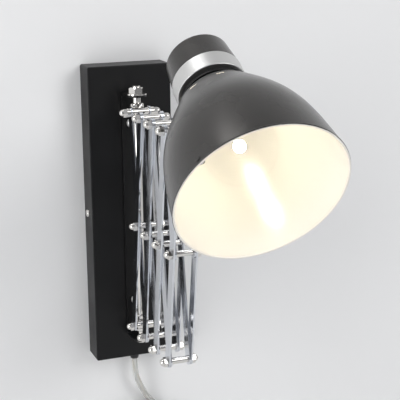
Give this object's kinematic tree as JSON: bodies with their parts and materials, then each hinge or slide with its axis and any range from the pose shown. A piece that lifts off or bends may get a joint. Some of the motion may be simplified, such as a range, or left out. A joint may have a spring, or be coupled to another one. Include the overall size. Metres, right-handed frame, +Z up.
{
  "type": "accordion wall lamp",
  "caption": "Wall lamp on a folding scissor arm, with a black wall plate, polished bars, a metallic grey bell shade and a clear mains cord.",
  "frame": {"origin": "wall mount: midway between the two wall screw holes, on the wall plane at the back of the wall strap", "axes": "+Z up the wall plate, +Y into the wall, -Y out towards the room, +X to the right of a person who faces the wall"},
  "size_m": [0.15, 0.3822, 0.5362],
  "materials": {
    "black_steel": "satin powder coat",
    "grey_steel": "satin metallic grey",
    "polished": "polished",
    "satin_ring": "fine brushed",
    "zinc": "zinc plated",
    "nylon_black": "moulded",
    "ivory_ceramic": "matt",
    "terminal_white": "moulded",
    "lamp_glass": "opal warm",
    "base_metal": "rolled thread",
    "clear_cord": "clear flexible",
    "plug_plastic": "moulded",
    "pin_metal": "nickel plated"
  },
  "bodies": {
    "wall": {"wall_cover": "black_steel", "wall_strap": "zinc", "cover_screws": "polished", "terminal_block": "terminal_white", "terminal_screws": "zinc", "pivot_bracket": "black_steel", "bracket_screws": "zinc", "bracket_nuts": "zinc", "pivot_rod": "polished", "rod_washer": "polished", "rod_nut": "polished", "cord_gland": "nylon_black", "cord_run": "clear_cord", "cord_coil": "clear_cord", "cord_tail": "clear_cord", "cord_tie": "nylon_black", "plug_body": "plug_plastic", "plug_pins": "pin_metal"},
    "swing": {"swing_block": "polished", "swing_axles": "polished", "swing_nuts": "polished", "swing_washers": "polished"},
    "falling_0": {"falling_0_bars": "polished", "falling_0_axles": "polished", "falling_0_nuts": "polished"},
    "rising_0": {"rising_0_bars": "polished", "rising_0_axles": "polished", "rising_0_nuts": "polished"},
    "falling_1": {"falling_1_bars": "polished", "falling_1_axles": "polished", "falling_1_nuts": "polished"},
    "rising_1": {"rising_1_bars": "polished", "rising_1_axles": "polished", "rising_1_nuts": "polished"},
    "falling_2": {"falling_2_bars": "polished", "falling_2_axles": "polished", "falling_2_nuts": "polished"},
    "rising_2": {"rising_2_bars": "polished", "rising_2_axles": "polished", "rising_2_nuts": "polished"},
    "falling_3": {"falling_3_bars": "polished", "falling_3_axles": "polished", "falling_3_nuts": "polished"},
    "rising_3": {"rising_3_bars": "polished", "rising_3_axles": "polished", "rising_3_nuts": "polished"},
    "slider": {"slide_block": "polished"},
    "head_tilt_body": {"head_knuckle": "polished", "head_post": "polished", "post_collar": "polished", "post_nut": "zinc"},
    "head": {"shade": "grey_steel", "rim_screw": "zinc", "rim_nut": "zinc", "neck_sleeve": "grey_steel", "chrome_ring": "satin_ring", "cap": "grey_steel", "lampholder": "ivory_ceramic", "bulb_base": "base_metal", "bulb_glass": "lamp_glass"}
  },
  "joints": [
    {"name": "arm_swing", "type": "hinge", "parent": "wall", "child": "swing", "pos_m": [0, -0.048, 0.109], "axis": [0, 0, 1], "range_deg": [-75, 75]},
    {"name": "arm_extend", "type": "hinge", "parent": "swing", "child": "falling_0", "pos_m": [0, -0.057, 0.109], "axis": [-1, 0, 0], "range_deg": [-3.5, 51]},
    {"name": "cross_0", "type": "hinge", "parent": "falling_0", "child": "rising_0", "pos_m": [0, -0.0738, 0.00175], "axis": [1, 0, 0], "range_deg": [-7.02, 102.02]},
    {"name": "top_1", "type": "hinge", "parent": "rising_0", "child": "falling_1", "pos_m": [0, -0.0906, 0.109], "axis": [-1, 0, 0], "range_deg": [-7.02, 102.02]},
    {"name": "cross_1", "type": "hinge", "parent": "falling_1", "child": "rising_1", "pos_m": [0, -0.1074, 0.00175], "axis": [1, 0, 0], "range_deg": [-7.02, 102.02]},
    {"name": "top_2", "type": "hinge", "parent": "rising_1", "child": "falling_2", "pos_m": [0, -0.1242, 0.109], "axis": [-1, 0, 0], "range_deg": [-7.02, 102.02]},
    {"name": "cross_2", "type": "hinge", "parent": "falling_2", "child": "rising_2", "pos_m": [0, -0.141, 0.00175], "axis": [1, 0, 0], "range_deg": [-7.02, 102.02]},
    {"name": "top_3", "type": "hinge", "parent": "rising_2", "child": "falling_3", "pos_m": [0, -0.1578, 0.109], "axis": [-1, 0, 0], "range_deg": [-7.02, 102.02]},
    {"name": "cross_3", "type": "hinge", "parent": "falling_3", "child": "rising_3", "pos_m": [0, -0.1746, 0.00175], "axis": [1, 0, 0], "range_deg": [-7.02, 102.02]},
    {"name": "slide_turn", "type": "hinge", "parent": "rising_0", "child": "slider", "pos_m": [0, -0.057, -0.1055], "axis": [-1, 0, 0], "range_deg": [-3.52, 51.02]},
    {"name": "head_tilt", "type": "hinge", "parent": "rising_3", "child": "head_tilt_body", "pos_m": [0, -0.1914, 0.109], "axis": [1, 0, 0], "range_deg": [-55, 45]},
    {"name": "head_pan", "type": "hinge", "parent": "head_tilt_body", "child": "head", "pos_m": [0, -0.1914, 0.109], "axis": [0, -0.5314, 0.8471], "range_deg": [-60, 60]}
  ],
  "couplings": [
    {"joint": "cross_0", "follows": "arm_extend", "ratio": 2},
    {"joint": "top_1", "follows": "arm_extend", "ratio": 2},
    {"joint": "cross_1", "follows": "arm_extend", "ratio": 2},
    {"joint": "top_2", "follows": "arm_extend", "ratio": 2},
    {"joint": "cross_2", "follows": "arm_extend", "ratio": 2},
    {"joint": "top_3", "follows": "arm_extend", "ratio": 2},
    {"joint": "cross_3", "follows": "arm_extend", "ratio": 2},
    {"joint": "slide_turn", "follows": "arm_extend", "ratio": 1}
  ]
}
